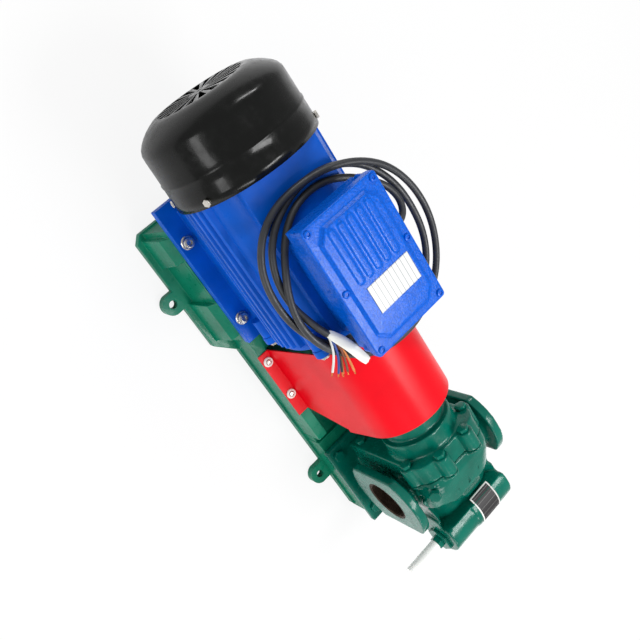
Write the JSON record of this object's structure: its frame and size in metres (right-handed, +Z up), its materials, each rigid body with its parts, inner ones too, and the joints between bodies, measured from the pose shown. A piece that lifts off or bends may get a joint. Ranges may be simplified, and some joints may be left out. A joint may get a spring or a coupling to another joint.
{
  "type": "gear pump",
  "caption": "Motor-driven gear pump on a cast bed, with finned motor, fan cover, terminal box, loose cord coil, coupling guard, flanged side ports and relief valve",
  "frame": {"origin": "floor level, midway between the two wide fixing lugs, on the shaft's plane", "axes": "+X along the shaft from fan to pump, +Y across to the far port, +Z up"},
  "size_m": [0.838, 0.338, 0.3606],
  "materials": {
    "green_enamel": "gloss",
    "green_bed": "gloss",
    "motor_blue": "semi-gloss",
    "box_blue": "hammered gloss",
    "black_gloss": "high gloss",
    "guard_red": "semi-gloss",
    "zinc_steel": "zinc plated",
    "machined_steel": "machined",
    "lamination": "varnished",
    "copper_winding": "enamelled",
    "fan_plastic": "moulded",
    "board_plastic": "moulded",
    "white_washer": "moulded",
    "label_white": "printed film, left blank",
    "label_dark": "anodised, left blank",
    "spider_rubber": "moulded",
    "gasket_paper": "pressed fibre",
    "packing": "braided graphite",
    "bronze": "machined",
    "spring_steel": "ground",
    "sleeve_plastic": "translucent",
    "cord_rubber": "matt",
    "cord_filler": "fibrous",
    "core_colours": "coloured insulation",
    "gland_nylon": "moulded"
  },
  "bodies": {
    "pump_set": {"base_frame": "green_bed", "motor_frame": "motor_blue", "motor_front_shield": "motor_blue", "shield_bolts": "zinc_steel", "motor_rear_shield": "motor_blue", "fan_cover_screws": "zinc_steel", "bearing_outer_rings": "machined_steel", "stator_core": "lamination", "stator_windings": "copper_winding", "fan_cover": "black_gloss", "motor_foot_bolts": "zinc_steel", "motor_foot_washers": "zinc_steel", "terminal_box": "box_blue", "terminal_box_lid": "box_blue", "lid_screws": "box_blue", "lid_plate": "label_white", "terminal_board": "board_plastic", "coupling_guard": "guard_red", "guard_screws": "zinc_steel", "guard_washers": "white_washer", "pump_front_cover": "green_enamel", "pump_rear_cover": "green_enamel", "gear_case": "green_enamel", "case_plug": "green_enamel", "cover_bolts": "green_enamel", "dowel_pins": "machined_steel", "case_gaskets": "gasket_paper", "bearing_bushes": "bronze", "pump_foot_bolts": "green_enamel", "gland_packing": "packing", "gland_follower": "green_enamel", "gland_studs": "zinc_steel", "relief_spring": "spring_steel", "relief_bonnet": "green_enamel", "adjusting_lock_nut": "green_enamel", "thread_sleeve": "sleeve_plastic", "pump_plate": "label_dark", "cord_coil": "cord_rubber", "cable_gland": "gland_nylon", "cord_lead": "cord_rubber", "cord_tail": "cord_filler", "cord_conductors": "core_colours"},
    "motor_rotor": {"rotor_shaft": "machined_steel", "rotor_core": "lamination", "bearing_inner_rings": "machined_steel", "motor_shaft_key": "machined_steel", "cooling_fan": "fan_plastic", "coupling_motor_half": "machined_steel", "coupling_spider": "spider_rubber"},
    "drive_gear_set": {"drive_shaft": "machined_steel", "drive_gear": "machined_steel", "coupling_pump_half": "machined_steel", "pump_shaft_key": "machined_steel"},
    "driven_gear_set": {"driven_shaft": "machined_steel", "driven_gear": "machined_steel"},
    "poppet": {"relief_poppet": "machined_steel"},
    "spring_disc": {"spring_seat": "machined_steel"},
    "screw": {"adjusting_screw": "zinc_steel"}
  },
  "joints": [
    {"name": "rotor_spin", "type": "hinge", "parent": "pump_set", "child": "motor_rotor", "pos_m": [0, 0, 0.19], "axis": [1, 0, 0], "continuous": true},
    {"name": "drive_gear_spin", "type": "hinge", "parent": "pump_set", "child": "drive_gear_set", "pos_m": [0, 0, 0.19], "axis": [1, 0, 0], "continuous": true},
    {"name": "driven_gear_spin", "type": "hinge", "parent": "pump_set", "child": "driven_gear_set", "pos_m": [0, 0, 0.12], "axis": [1, 0, 0], "continuous": true},
    {"name": "poppet_lift", "type": "slide", "parent": "pump_set", "child": "poppet", "axis": [0, -1, 0], "range_m": [0, 0.006], "stiffness_N_per_m": 9000, "springref_m": -0.008, "deforming": ["relief_spring"]},
    {"name": "spring_disc_travel", "type": "slide", "parent": "pump_set", "child": "spring_disc", "axis": [0, 1, 0], "range_m": [-0.004, 0.004]},
    {"name": "screw_turn", "type": "hinge", "parent": "spring_disc", "child": "screw", "pos_m": [0.556, 0, 0.177], "axis": [0, 1, 0], "range_deg": [-720, 720]}
  ],
  "couplings": [
    {"joint": "drive_gear_spin", "follows": "rotor_spin", "ratio": 1},
    {"joint": "driven_gear_spin", "follows": "rotor_spin", "ratio": -1},
    {"joint": "screw_turn", "follows": "spring_disc_travel", "rad_per_m": 3141.6}
  ]
}
